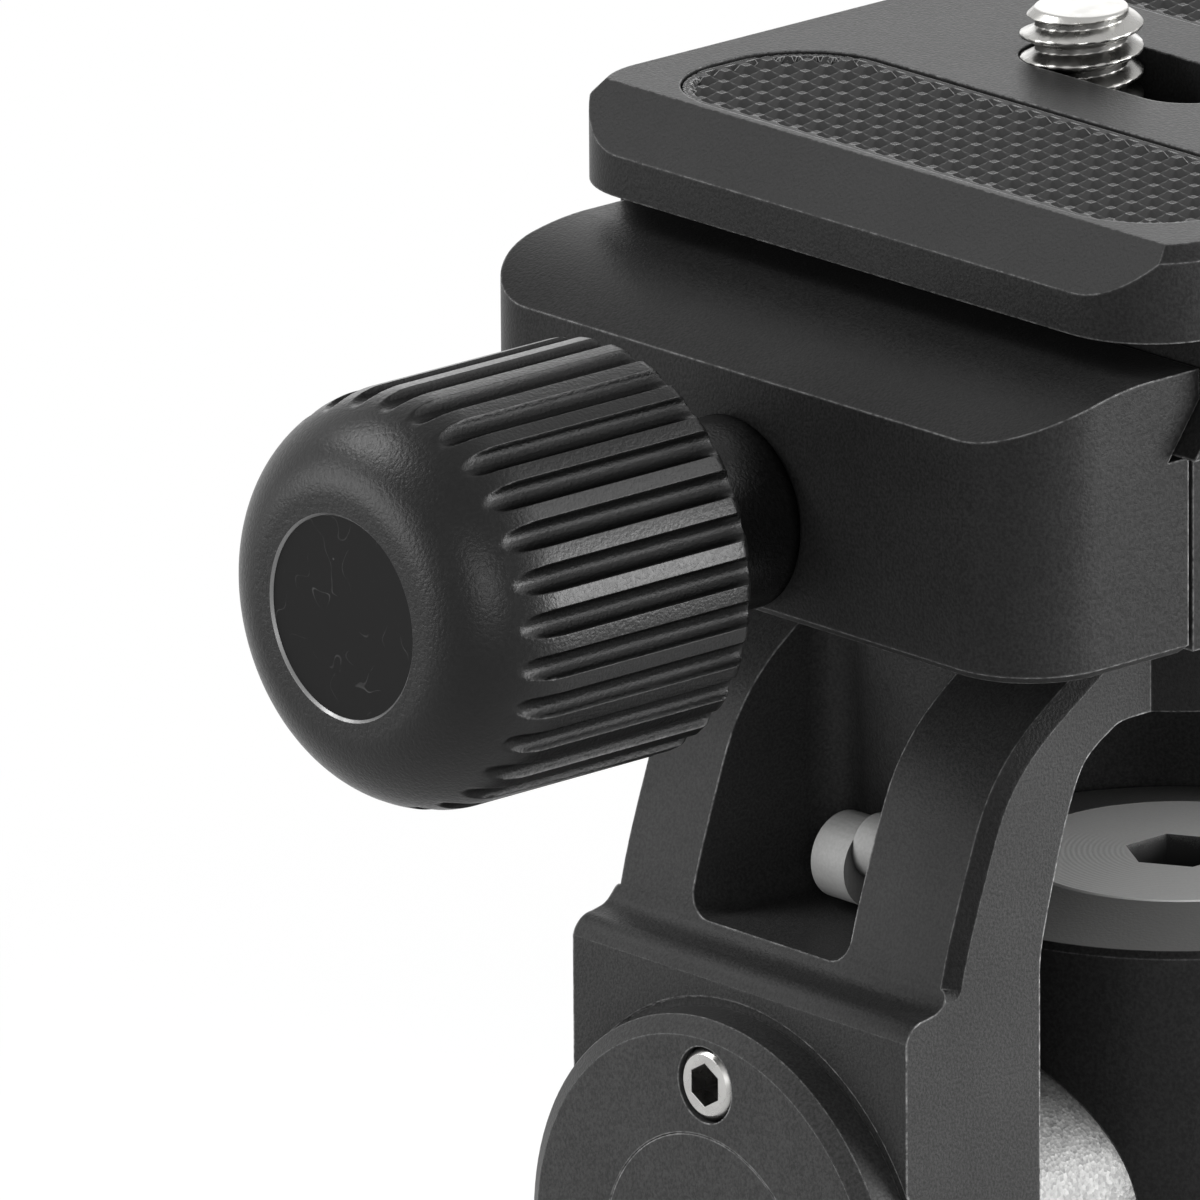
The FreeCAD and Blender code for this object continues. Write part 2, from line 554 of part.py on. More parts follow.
def make_post():
    """Rotating post with the pan skirt at its foot, bored for spindle, axle, collars and pan lock."""
    shoulder = WEB_TOP - 3.7
    profile = [(BOSS_R + RUNNING, SKIRT_BOTTOM), (SKIRT_R - 0.5, SKIRT_BOTTOM), (SKIRT_R, SKIRT_BOTTOM + 0.5),
               (SKIRT_R, 14.6), (SKIRT_R - 1.4, 16.0), (18.5, 18.2)]
    for k in range(1, 5):
        angle = radians(22.5 * k)
        profile.append((18.5 - 4.25 * sin(angle), 21.4 - 3.2 * cos(angle)))
    profile += [(POST_R, POST_RIM - 0.35), (POST_R - 0.35, POST_RIM), (POST_CAP_R, POST_TOP - 0.05),
                (POST_CAP_R, POST_TOP - POST_CAP_H), (CHAMBER_R, POST_TOP - POST_CAP_H), (CHAMBER_R, WEB_TOP),
                (SPINDLE_R + RUNNING, WEB_TOP), (SPINDLE_R + RUNNING, shoulder), (BOSS_R + RUNNING, shoulder)]
    post = turning(profile)
    tools = [rod_x(BUSH_R, -POST_R, POST_R)]
    for side in (-1, 1):
        tools.append(along(rod(COLLAR_R, COLLAR_SEAT, POST_R + 1), (0, 0, TILT_Z), (side, 0, 0)))
    front = (0, 0, PAN_LOCK_Z)
    tools.append(along(rod(SHOE_R + RUNNING, BOSS_R - 1, BOSS_R + SHOE_LEN + 2), front, (0, -1, 0)))
    tools.append(along(rod(SCREW_R + RUNNING, BOSS_R, SKIRT_R + 1), front, (0, -1, 0)))
    save(post.cut(tools), "post")


def make_post_cap():
    """Grey screw cap that closes the post's top, with a key socket."""
    low = POST_TOP - POST_CAP_H
    cap = turning([(0, low), (POST_CAP_R, low), (POST_CAP_R, POST_TOP - 0.2), (POST_CAP_R - 0.2, POST_TOP),
                   (0, POST_TOP)])
    save(cap.cut(hex_socket(5.0, POST_TOP - 4.0, POST_TOP + 1)), "post_cap")


def make_hub_rings():
    """Grey collars between post and legs, each with a bronze bush for the axle."""
    for side, name in ((-1, "left"), (1, "right")):
        collar = rod(COLLAR_R, COLLAR_SEAT, LEG_INNER - GAP).cut(rod(BUSH_R, 0, LEG_INNER))
        bush = rod(BUSH_R, CHAMBER_R + 0.5, LEG_INNER - GAP).cut(rod(AXLE_R + RUNNING, 0, LEG_INNER))
        save(along(collar, (0, 0, TILT_Z), (side, 0, 0)), "hub_collar_" + name)
        save(along(bush, (0, 0, TILT_Z), (side, 0, 0)), "axle_bush_" + name)


def make_pan_lock():
    """Brake shoe that bears on the foot's boss, and the screw and knob behind it."""
    front = (0, 0, PAN_LOCK_Z)
    shoe_start = BOSS_R + GAP
    shoe_end = shoe_start + SHOE_LEN
    save(along(rod(SHOE_R, shoe_start, shoe_end), front, (0, -1, 0)), "brake_shoe")
    neck_start = SKIRT_R + 2.0
    start = (0, -neck_start, PAN_LOCK_Z)
    neck = 3.0
    depth = neck + KNOB_BORE
    knob = ribbed_knob(PAN_KNOB_R, PAN_KNOB_LEN, KNOB_NECK_R, neck, SCREW_R, depth)
    save(along(knob, start, (0, -1, 0)), "pan_knob")
    save(along(knob_cap(PAN_KNOB_R, PAN_KNOB_LEN, neck), start, (0, -1, 0)), "pan_knob_cap")
    save(along(rod(SCREW_R, shoe_end + GAP, neck_start + depth), front, (0, -1, 0)), "pan_screw")


def make_foot():
    """Fixed foot, the boss on it that the post turns on, and the tripod thread insert."""
    foot = turning([(0, 0), (FOOT_R - 0.8, 0), (FOOT_R, 0.8), (FOOT_R, FOOT_H - 1.2), (FOOT_R - 1.2, FOOT_H),
                    (0, FOOT_H)])
    save(foot.cut(rod(INSERT_R, -1, INSERT_H)), "base_foot")
    boss = turning([(0, FOOT_H), (BOSS_R, FOOT_H), (BOSS_R, BOSS_TOP - 0.4), (BOSS_R - 0.4, BOSS_TOP),
                    (0, BOSS_TOP)])
    boss = boss.cut([rod(INSERT_R, -1, INSERT_H), rod(SPINDLE_R, INSERT_H - 1, BOSS_TOP + 1)])
    save(boss, "pan_boss")
    save(rod(INSERT_R, 0, INSERT_H).cut(rod(TRIPOD_WALL, -1, INSERT_H + 1)), "foot_insert")
    ring = rod(SKIRT_R - 2, FOOT_H, SKIRT_BOTTOM - THRUST)
    save(ring.cut(rod(BOSS_R + 1, 0, SKIRT_BOTTOM)), "thrust_washer")


def make_spindle():
    """Bolt and washer that keep the post down on the foot."""
    washer_top = WEB_TOP + THRUST + SPINDLE_WASHER_T
    washer = rod(CHAMBER_R - 0.5, WEB_TOP + THRUST, washer_top)
    save(washer.cut(rod(SPINDLE_R, 0, washer_top + 1)), "spindle_washer")
    bolt = rod(SPINDLE_R, INSERT_H + GAP, washer_top)
    bolt = bolt.fuse(rod(SPINDLE_HEAD_R, washer_top, washer_top + SPINDLE_HEAD_H))
    socket = hex_socket(6.0, washer_top + 1.5, washer_top + SPINDLE_HEAD_H + 1)
    save(bolt.cut(socket), "spindle_bolt")


make_plate()
make_pads()
make_camera_screw()
make_jaw()
make_clamp_body()
make_clamp_fixings()
make_clamp_knob()
make_yoke()
save(stop_pin_shape(), "stop_pin")
make_tilt_axle()
make_disc_cover()
make_tilt_knob()
make_post()
make_post_cap()
make_hub_rings()
make_pan_lock()
make_foot()
make_spindle()
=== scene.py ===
import math

import bmesh
import bpy
import numpy as np
from mathutils import Matrix, Vector


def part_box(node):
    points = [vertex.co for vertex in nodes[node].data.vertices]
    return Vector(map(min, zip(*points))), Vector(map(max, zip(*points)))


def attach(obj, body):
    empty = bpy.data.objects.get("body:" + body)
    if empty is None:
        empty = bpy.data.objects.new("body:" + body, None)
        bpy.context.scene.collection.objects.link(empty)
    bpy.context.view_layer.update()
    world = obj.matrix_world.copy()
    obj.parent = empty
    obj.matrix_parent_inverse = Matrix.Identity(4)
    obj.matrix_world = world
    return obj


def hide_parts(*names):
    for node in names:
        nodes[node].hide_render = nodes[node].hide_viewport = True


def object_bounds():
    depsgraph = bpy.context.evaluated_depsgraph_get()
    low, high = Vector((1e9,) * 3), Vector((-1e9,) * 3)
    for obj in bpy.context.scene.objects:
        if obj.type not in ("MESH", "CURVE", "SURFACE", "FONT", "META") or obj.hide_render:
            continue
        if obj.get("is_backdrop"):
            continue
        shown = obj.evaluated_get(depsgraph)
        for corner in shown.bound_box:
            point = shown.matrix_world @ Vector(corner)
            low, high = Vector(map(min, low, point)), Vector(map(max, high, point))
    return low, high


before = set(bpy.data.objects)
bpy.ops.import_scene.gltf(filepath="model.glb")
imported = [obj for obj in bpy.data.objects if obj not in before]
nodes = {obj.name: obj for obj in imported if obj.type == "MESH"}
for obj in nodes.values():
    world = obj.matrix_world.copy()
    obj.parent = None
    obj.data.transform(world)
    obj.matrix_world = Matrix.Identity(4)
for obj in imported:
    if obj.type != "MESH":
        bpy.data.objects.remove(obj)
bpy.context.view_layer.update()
MM = 0.001


# The foot, the skirt of the rotating post and the thrust washer between them.
# Foot and post are turned from aluminium bar, bead blasted and anodised black.
# Blasting leaves a fine silky grain, and the dye wears to grey along the edges, where a painted highlight is
# added as well.
def paint(hex_code, alpha=1.0):
    """Turn an sRGB hex colour into the linear numbers that a shader takes."""
    parts = [int(hex_code[k:k + 2], 16) / 255 for k in (0, 2, 4)]
    linear = [c / 12.92 if c <= 0.04045 else ((c + 0.055) / 1.055) ** 2.4 for c in parts]
    return (*linear, alpha)


def add_node(tree, kind, values=(), links=(), **settings):
    """Add one shader node with its settings, its socket values and what feeds it."""
    made = tree.nodes.new(kind)
    for name, value in settings.items():
        setattr(made, name, value)
    for socket, value in dict(values).items():
        made.inputs[socket].default_value = value
    for socket, source in dict(links).items():
        tree.links.new(source, made.inputs[socket])
    return made


def new_finish(name):
    """Start a material: its tree, its surface shader and its own coordinates in metres."""
    finish = bpy.data.materials.new(name)
    finish.use_nodes = True
    tree = finish.node_tree
    surface = tree.nodes["Principled BSDF"]
    place = add_node(tree, "ShaderNodeTexCoord").outputs["Object"]
    return finish, tree, surface, place


def blasted_black(name, dye, faded, wear_and_highlight_colour, roughness, grain_mm, grain_depth_mm, edge_mm, ior=1.16):
    """Black anodised aluminium over a bead blasted surface, paler along its edges from wear and a painted
    highlight.

    Each pit of the blasting takes the dye a little differently, which mottles the black.
    Real pits are finer than a tenth of a millimetre, so the grain is drawn coarser to show."""
    finish, tree, surface, place = new_finish(name)
    rounded = add_node(tree, "ShaderNodeBevel", {"Radius": edge_mm * MM}, samples=6).outputs["Normal"]
    flat = add_node(tree, "ShaderNodeNewGeometry").outputs["Normal"]
    facing = add_node(tree, "ShaderNodeVectorMath", links={0: rounded, 1: flat}, operation="DOT_PRODUCT")
    grain = add_node(tree, "ShaderNodeTexNoise",
                     {"Scale": 1 / (grain_mm * MM), "Detail": 2.0, "Roughness": 0.6},
                     {"Vector": place})
    cloud = add_node(tree, "ShaderNodeTexNoise", {"Scale": 1 / (6 * MM), "Detail": 3.0}, {"Vector": place})
    # Wear and painted highlight: edges turn pale grey, in patches.
    edge_band = add_node(tree, "ShaderNodeMapRange",
                      {"From Min": 0.995, "From Max": 0.86, "To Min": 0.0, "To Max": 1.0},
                      {"Value": facing.outputs["Value"]})
    patch = add_node(tree, "ShaderNodeTexNoise", {"Scale": 1 / (0.5 * MM), "Detail": 4.0, "Roughness": 0.75},
                     {"Vector": place})
    uneven = add_node(tree, "ShaderNodeMapRange",
                      {"From Min": 0.4, "From Max": 0.66, "To Min": 0.15, "To Max": 1.0},
                      {"Value": patch.outputs["Fac"]})
    wear_and_highlight = add_node(tree, "ShaderNodeMath", links={0: edge_band.outputs["Result"], 1: uneven.outputs["Result"]},
                    operation="MULTIPLY", use_clamp=True)
    tone = add_node(tree, "ShaderNodeMix", {"A": paint(dye), "B": paint(faded)}, data_type="RGBA")
    tree.links.new(cloud.outputs["Fac"], tone.inputs["Factor"])
    mottle = add_node(tree, "ShaderNodeMapRange",
                      {"From Min": 0.35, "From Max": 0.65, "To Min": 0.74, "To Max": 1.26},
                      {"Value": grain.outputs["Fac"]})
    tone = add_node(tree, "ShaderNodeVectorMath",
                    links={0: tone.outputs["Result"], 1: mottle.outputs["Result"]},
                    operation="MULTIPLY")
    colour = add_node(tree, "ShaderNodeMix", {"B": paint(wear_and_highlight_colour)},
                      {"Factor": wear_and_highlight.outputs[0], "A": tone.outputs["Vector"]}, data_type="RGBA")
    sheen = add_node(tree, "ShaderNodeMapRange",
                     {"From Min": 0.3, "From Max": 0.7, "To Min": roughness - 0.05, "To Max": roughness + 0.06},
                     {"Value": grain.outputs["Fac"]})
    relief = add_node(tree, "ShaderNodeBump", {"Strength": 1.0, "Distance": grain_depth_mm * MM},
                      {"Height": grain.outputs["Fac"], "Normal": rounded})
    tree.links.new(colour.outputs["Result"], surface.inputs["Base Color"])
    tree.links.new(sheen.outputs["Result"], surface.inputs["Roughness"])
    tree.links.new(relief.outputs["Normal"], surface.inputs["Normal"])
    surface.inputs["IOR"].default_value = ior
    return finish


def dress(finish, *names):
    """Give carried-over CAD nodes their finish."""
    for name in names:
        for slot in nodes[name].material_slots:
            slot.material = finish


anodised_aluminium = blasted_black("anodised_aluminium_blasted", "2b2b2b", "373737", "b4b4b4", roughness=0.4,
                                   grain_mm=0.16, grain_depth_mm=0.036, edge_mm=0.18)
dress(anodised_aluminium, "base_foot", "pan_boss")

# The post's top slopes up to its screw cap and has been faced after the dye, so it shows grey.
# The post's black is darker than the foot's: painted shade.
post_finish = blasted_black("anodised_aluminium_post", "1a1a1a", "242424", "707070", roughness=0.36,
                            grain_mm=0.2, grain_depth_mm=0.015, edge_mm=0.16)
crown_low_mm, facing_up = 53.0, 0.9
tree = post_finish.node_tree
surface = tree.nodes["Principled BSDF"]
place = add_node(tree, "ShaderNodeTexCoord").outputs["Object"]
height = add_node(tree, "ShaderNodeSeparateXYZ", links={"Vector": place}).outputs["Z"]
flat = add_node(tree, "ShaderNodeNewGeometry").outputs["Normal"]
up = add_node(tree, "ShaderNodeSeparateXYZ", links={"Vector": flat}).outputs["Z"]
high = add_node(tree, "ShaderNodeMath", {1: crown_low_mm * MM}, {0: height}, operation="GREATER_THAN")
sloped = add_node(tree, "ShaderNodeMath", {1: facing_up}, {0: up}, operation="GREATER_THAN")
crown = add_node(tree, "ShaderNodeMath", links={0: high.outputs[0], 1: sloped.outputs[0]},
                 operation="MULTIPLY")
grey = add_node(tree, "ShaderNodeMix", {"B": paint("6e6e6d")}, data_type="RGBA")
tree.links.new(crown.outputs[0], grey.inputs["Factor"])
tree.links.new(surface.inputs["Base Color"].links[0].from_socket, grey.inputs["A"])
tree.links.new(grey.outputs["Result"], surface.inputs["Base Color"])
dress(post_finish, "post")

turned_nylon, tree, surface, place = new_finish("nylon_turned")
surface.inputs["Base Color"].default_value = paint("d8d4c6")
surface.inputs["Roughness"].default_value = 0.5
surface.inputs["IOR"].default_value = 1.53
mill = add_node(tree, "ShaderNodeTexNoise", {"Scale": 1 / (0.4 * MM)}, {"Vector": place})
relief = add_node(tree, "ShaderNodeBump", {"Strength": 0.6, "Distance": 0.02 * MM},
                  {"Height": mill.outputs["Fac"]})
tree.links.new(relief.outputs["Normal"], surface.inputs["Normal"])
dress(turned_nylon, "thrust_washer")


# Steel fittings: spindle, its washer, the tripod insert, screws, pins and dowels.
# Turned stainless steel, left bright: the fine marks of the tool blur its gloss.
def bright_steel(name, colour, roughness, mark_mm, mark_depth_mm):
    """Turned metal with fine tool marks, small changes of gloss and painted shade in its recesses."""
    finish, tree, surface, place = new_finish(name)
    # Painted shade: the colour falls to near black where the surroundings close in.
    open_sky = add_node(tree, "ShaderNodeAmbientOcclusion", {"Distance": 1.6 * MM}, samples=8).outputs["AO"]
    unshaded = add_node(tree, "ShaderNodeMapRange",
                     {"From Min": 0.15, "From Max": 0.8, "To Min": 0.0, "To Max": 1.0},
                     {"Value": open_sky})
    shade = add_node(tree, "ShaderNodeMix", {"A": paint("202020"), "B": paint(colour)},
                     {"Factor": unshaded.outputs["Result"]}, data_type="RGBA")
    tree.links.new(shade.outputs["Result"], surface.inputs["Base Color"])
    surface.inputs["Metallic"].default_value = 1.0
    marks = add_node(tree, "ShaderNodeTexNoise", {"Scale": 1 / (mark_mm * MM), "Detail": 3.0},
                     {"Vector": place})
    blotch = add_node(tree, "ShaderNodeTexNoise", {"Scale": 1 / (1.2 * MM), "Detail": 2.0}, {"Vector": place})
    gloss = add_node(tree, "ShaderNodeMapRange",
                     {"From Min": 0.3, "From Max": 0.7, "To Min": roughness - 0.06, "To Max": roughness + 0.1},
                     {"Value": blotch.outputs["Fac"]})
    rounded = add_node(tree, "ShaderNodeBevel", {"Radius": 0.06 * MM}, samples=4).outputs["Normal"]
    relief = add_node(tree, "ShaderNodeBump", {"Strength": 1.0, "Distance": mark_depth_mm * MM},
                      {"Height": marks.outputs["Fac"], "Normal": rounded})
    tree.links.new(gloss.outputs["Result"], surface.inputs["Roughness"])
    tree.links.new(relief.outputs["Normal"], surface.inputs["Normal"])
    return finish


stainless_steel = bright_steel("stainless_steel_turned", "aeadab", roughness=0.26, mark_mm=0.12,
                               mark_depth_mm=0.004)
dress(stainless_steel, "foot_insert", "spindle_bolt", "spindle_washer", "guide_pins", "clamp_dowels",
      "brake_shoe", "pan_screw", "clamp_screw", "screw_guide", "tilt_washer", "tilt_knob_insert",
      "cover_screw", "tilt_axle")
bolt_steel = bright_steel("steel_pin_ground", "8f8f8d", roughness=0.36, mark_mm=0.1, mark_depth_mm=0.004)
dress(bolt_steel, "clamp_bolt")


# The screw cap in the post's top, a turned aluminium disc anodised clear, and the pin in the yoke's
# pocket. Facing on the lathe leaves rings a tenth of a millimetre apart, seen as a soft fan of light.
# They are drawn about three tenths apart, because finer ones would not show.
def faced_grey(name, dark, light):
    """Clear anodised aluminium with turning rings, fine speckle and shaded recesses."""
    finish, tree, surface, place = new_finish(name)
    rings = add_node(tree, "ShaderNodeTexWave", {"Scale": 1 / (0.9 * MM), "Distortion": 0.6, "Detail": 2.0},
                     {"Vector": place}, wave_type="RINGS", rings_direction="Z")
    speck = add_node(tree, "ShaderNodeTexNoise", {"Scale": 1 / (0.18 * MM), "Detail": 2.0}, {"Vector": place})
    stack = add_node(tree, "ShaderNodeMath", links={0: rings.outputs["Fac"], 1: speck.outputs["Fac"]})
    relief = add_node(tree, "ShaderNodeBump", {"Strength": 0.7, "Distance": 0.006 * MM},
                      {"Height": stack.outputs[0]})
    tone = add_node(tree, "ShaderNodeMix", {"A": paint(dark), "B": paint(light)},
                    {"Factor": speck.outputs["Fac"]},
                    data_type="RGBA")
    # Painted shade: the colour falls to dark grey in the part's own recesses.
    open_sky = add_node(tree, "ShaderNodeAmbientOcclusion", {"Distance": 6 * MM}, samples=8,
                        only_local=True).outputs["AO"]
    unshaded = add_node(tree, "ShaderNodeMapRange",
                     {"From Min": 0.5, "From Max": 0.85, "To Min": 0.0, "To Max": 1.0},
                     {"Value": open_sky})
    shade = add_node(tree, "ShaderNodeMix", {"A": paint("262626")},
                     {"Factor": unshaded.outputs["Result"], "B": tone.outputs["Result"]}, data_type="RGBA")
    tree.links.new(shade.outputs["Result"], surface.inputs["Base Color"])
    tree.links.new(relief.outputs["Normal"], surface.inputs["Normal"])
    surface.inputs["Metallic"].default_value = 0.05
    surface.inputs["Roughness"].default_value = 0.5
    surface.inputs["IOR"].default_value = 1.3
    return finish


dress(faced_grey("anodised_aluminium_faced_grey", "c8c8c7", "d6d6d5"), "post_cap")
dress(faced_grey("anodised_aluminium_pin", "868685", "9c9c9b"), "stop_pin")


# The collars between post and legs, aluminium blasted with coarse glass and left grey,
# and the bronze bushes that line them for the axle.
finish, tree, surface, place = new_finish("aluminium_glass_blasted")
crystal = add_node(tree, "ShaderNodeTexVoronoi", {"Scale": 1 / (0.2 * MM)}, {"Vector": place})
relief = add_node(tree, "ShaderNodeBump", {"Strength": 0.8, "Distance": 0.02 * MM},
                  {"Height": crystal.outputs["Distance"]})
tone = add_node(tree, "ShaderNodeMix", {"A": paint("454545"), "B": paint("6c6c6b")}, data_type="RGBA")
tree.links.new(crystal.outputs["Color"], tone.inputs["Factor"])
tree.links.new(tone.outputs["Result"], surface.inputs["Base Color"])
tree.links.new(relief.outputs["Normal"], surface.inputs["Normal"])
surface.inputs["Metallic"].default_value = 0.6
surface.inputs["Roughness"].default_value = 0.45
dress(finish, "hub_collar_left", "hub_collar_right")

finish, tree, surface, place = new_finish("bronze_sintered")
pores = add_node(tree, "ShaderNodeTexNoise", {"Scale": 1 / (0.1 * MM), "Detail": 3.0}, {"Vector": place})
relief = add_node(tree, "ShaderNodeBump", {"Strength": 1.0, "Distance": 0.01 * MM},
                  {"Height": pores.outputs["Fac"]})
surface.inputs["Base Color"].default_value = paint("a8824f")
surface.inputs["Metallic"].default_value = 1.0
surface.inputs["Roughness"].default_value = 0.4
tree.links.new(relief.outputs["Normal"], surface.inputs["Normal"])
dress(finish, "axle_bush_left", "axle_bush_right")


# The three knobs. Each is turned from aluminium with a round nose, then a ball cutter
# mills its finger grooves straight along it, so they run out where the nose falls away.
# The cap's seat has a narrow chamfer that was cut after anodising and shows bare metal.
# The grooves carry painted shade: their colour and gloss are darker than the lands between them.
knob_black = blasted_black("anodised_aluminium_knob", "0d0d0d", "161616", "505050", roughness=0.33,
                           grain_mm=0.2, grain_depth_mm=0.03, edge_mm=0.05, ior=1.32)
tree = knob_black.node_tree
surface = tree.nodes["Principled BSDF"]
# Painted shade: colour and gloss fall where the grooves close in round a point.
open_sky = add_node(tree, "ShaderNodeAmbientOcclusion", {"Distance": 1.2 * MM}, samples=8).outputs["AO"]
painted_groove_shade = add_node(tree, "ShaderNodeMapRange",
                 {"From Min": 0.8, "From Max": 0.97, "To Min": 0.03, "To Max": 0.5},
                 {"Value": open_sky})
tree.links.new(painted_groove_shade.outputs["Result"], surface.inputs["Specular IOR Level"])
dyed = surface.inputs["Base Color"].links[0].from_socket
shaded_colour = add_node(tree, "ShaderNodeVectorMath", links={0: dyed, "Scale": painted_groove_shade.outputs["Result"]},
                  operation="SCALE")
tree.links.new(shaded_colour.outputs["Vector"], surface.inputs["Base Color"])
bare_cut = bright_steel("aluminium_bare_cut", "747474", roughness=0.42, mark_mm=0.1, mark_depth_mm=0.002)


def knob_outline(radius, length, neck_r, neck, bore_r, bore, cap_r):
    """Points (radius, height) of the smooth knob from the blind bore's end to the cap's seat."""
    top = neck + length
    nose = 0.3 * length
    lip = cap_r + 0.9
    points = [(0.0, bore), (bore_r, bore), (bore_r, 0.25), (bore_r + 0.25, 0.0), (neck_r - 0.2, 0.0)]
    points += [(neck_r, 0.2), (neck_r, neck - 0.8)]
    for a in np.linspace(0.3, 1.57, 4):
        points.append((neck_r + 0.8 - 0.8 * math.cos(a), neck - 0.8 + 0.8 * math.sin(a)))
    points += [(r, neck) for r in np.linspace(neck_r + 1.2, radius - 0.9, 6)]
    for a in np.linspace(0.2, 1.57, 7):
        points.append((radius - 0.8 + 0.8 * math.sin(a), neck + 0.8 - 0.8 * math.cos(a)))
    points += [(radius, z) for z in np.linspace(neck + 1.4, top - nose - 0.3, 10)]
    for a in np.linspace(0.0, 1.5708, 34):
        points.append((lip + (radius - lip) * math.cos(a), top - nose + nose * math.sin(a)))
    points += [(cap_r + 0.14, top), (cap_r, top - 0.14), (cap_r, top - 1.0), (0.0, top - 1.0)]
    return points


def grooved(profile_r, offset, radius, depth=0.6, cutter=0.7):
    """Radius of the knob at an angle from the middle of a groove that a ball of radius cutter milled."""
    centre = radius - depth + cutter
    across = centre * np.sin(offset)
    inside = np.clip(cutter ** 2 - across ** 2, 0, None)
    floor = np.where(np.abs(across) < cutter, centre * np.cos(offset) - np.sqrt(inside), radius + 2)
    gap = np.clip(0.5 + (floor - profile_r) / 0.16, 0, 1)
    return floor * (1 - gap) + profile_r * gap - 0.08 * gap * (1 - gap)


def make_knob(name, node, body, origin, direction, sizes, cap_r, grooves):
    """Knob mesh: rings of points round the axis, pulled in along each groove."""
    radius = sizes["radius"]
    half = math.pi / grooves
    steps = np.array([0.0, 0.16, 0.31, 0.43, 0.51, 0.56, 0.6, 0.64, 0.69, 0.78, 0.89])
    offsets = np.concatenate([-steps[:0:-1], steps, [1.0]]) * half
    angles = np.concatenate([2 * half * k + offsets for k in range(grooves)])
    offsets = np.tile(offsets, grooves)
    outline = knob_outline(**sizes, cap_r=cap_r)
    points, rings = [], []
    for r, z in outline:
        if r == 0.0:
            rings.append([len(points)])
            points.append((0.0, 0.0, z))
            continue
        shaped = grooved(np.full(len(angles), r), offsets, radius) if r > radius - 0.9 else r
        rings.append(list(range(len(points), len(points) + len(angles))))
        points += list(zip(shaped * np.cos(angles), shaped * np.sin(angles), np.full(len(angles), z)))
    faces, shades = [], []
    count = len(angles)
    seat_chamfer = len(rings) - 4
    for row, (low, high) in enumerate(zip(rings, rings[1:])):
        for k in range(count):
            n = (k + 1) % count
            if len(low) == 1:
                faces.append((low[0], high[k], high[n]))
            elif len(high) == 1:
                faces.append((low[n], low[k], high[0]))
            else:
                faces.append((low[n], low[k], high[k], high[n]))
            shades.append(int(row == seat_chamfer))
    mesh = bpy.data.meshes.new(name)
    mesh.from_pydata(points, [], faces)
    mesh.polygons.foreach_set("material_index", shades)
    mesh.materials.append(knob_black)
    mesh.materials.append(bare_cut)
    turn = Vector((0, 0, 1)).rotation_difference(Vector(direction)).to_matrix().to_4x4()
    mesh.transform(Matrix.Translation(Vector(origin) * MM) @ turn @ Matrix.Scale(MM, 4))
    mesh.shade_smooth()
    mesh.set_sharp_from_angle(angle=math.radians(38))
    knob = bpy.data.objects.new(name, mesh)
    bpy.context.scene.collection.objects.link(knob)
    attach(knob, body)
    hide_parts(node)


def box_mm(name):
    """Lowest and highest corner of a CAD node in millimetres."""
    low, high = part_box(name)
    return low / MM, high / MM


low, high = box_mm("clamp_knob")
make_knob("clamp_knob_milled", "clamp_knob", "clamp_knob", (high.x, 0, (low.z + high.z) / 2), (-1, 0, 0),
          {"radius": 10.77, "length": 18.2, "neck_r": 5.0, "neck": 8.4, "bore_r": 3.0, "bore": 16.4},
          cap_r=5.2, grooves=30)
low, high = box_mm("tilt_knob")
make_knob("tilt_knob_milled", "tilt_knob", "tilt_knob", (low.x, 0, (low.z + high.z) / 2), (1, 0, 0),
          {"radius": 12.5, "length": 18.5, "neck_r": 8.0, "neck": 1.5, "bore_r": 6.0, "bore": 15.0},
          cap_r=6.04, grooves=35)
low, high = box_mm("pan_knob")
make_knob("pan_knob_milled", "pan_knob", "pan_knob", (0, high.y, (low.z + high.z) / 2), (0, -1, 0),
          {"radius": 8.0, "length": 15.0, "neck_r": 5.0, "neck": 3.0, "bore_r": 3.0, "bore": 11.0},
          cap_r=3.86, grooves=22)


# The discs in the knobs' noses, plain and bare.
# Thin hard plastic with a matt face that has picked up dust and hairline scratches. A hairline
# runs where a slow noise crosses its middle value, and only in some patches of the face.
finish, tree, surface, place = new_finish("abs_disc_matt")
turned = add_node(tree, "ShaderNodeMapping", {"Rotation": (0.6, 0.3, 0.2)}, {"Vector": place})
hair = add_node(tree, "ShaderNodeTexNoise", {"Scale": 1 / (2.4 * MM), "Detail": 1.0},
                {"Vector": turned.outputs["Vector"]})
level = add_node(tree, "ShaderNodeMath", {1: 0.5}, {0: hair.outputs["Fac"]}, operation="SUBTRACT")
level = add_node(tree, "ShaderNodeMath", links={0: level.outputs[0]}, operation="ABSOLUTE")
line = add_node(tree, "ShaderNodeMapRange",
                {"From Min": 0.006, "From Max": 0.002, "To Min": 0.0, "To Max": 1.0},
                {"Value": level.outputs[0]})
spread = add_node(tree, "ShaderNodeTexNoise", {"Scale": 1 / (1.6 * MM), "Detail": 3.0}, {"Vector": place})
sparse = add_node(tree, "ShaderNodeMapRange",
                  {"From Min": 0.5, "From Max": 0.66, "To Min": 0.0, "To Max": 0.35},
                  {"Value": spread.outputs["Fac"]})
scratch = add_node(tree, "ShaderNodeMath", links={0: line.outputs["Result"], 1: sparse.outputs["Result"]},
                   operation="MULTIPLY")
dust = add_node(tree, "ShaderNodeTexVoronoi", {"Scale": 1 / (1.1 * MM)}, {"Vector": place})
fleck = add_node(tree, "ShaderNodeMapRange",
                 {"From Min": 0.07, "From Max": 0.03, "To Min": 0.0, "To Max": 0.4},
                 {"Value": dust.outputs["Distance"]})
marks = add_node(tree, "ShaderNodeMath", links={0: scratch.outputs[0], 1: fleck.outputs["Result"]},
                 operation="MAXIMUM")
colour = add_node(tree, "ShaderNodeMix", {"A": paint("090909"), "B": paint("5a5a5a")}, data_type="RGBA")
tree.links.new(marks.outputs[0], colour.inputs["Factor"])
tree.links.new(colour.outputs["Result"], surface.inputs["Base Color"])
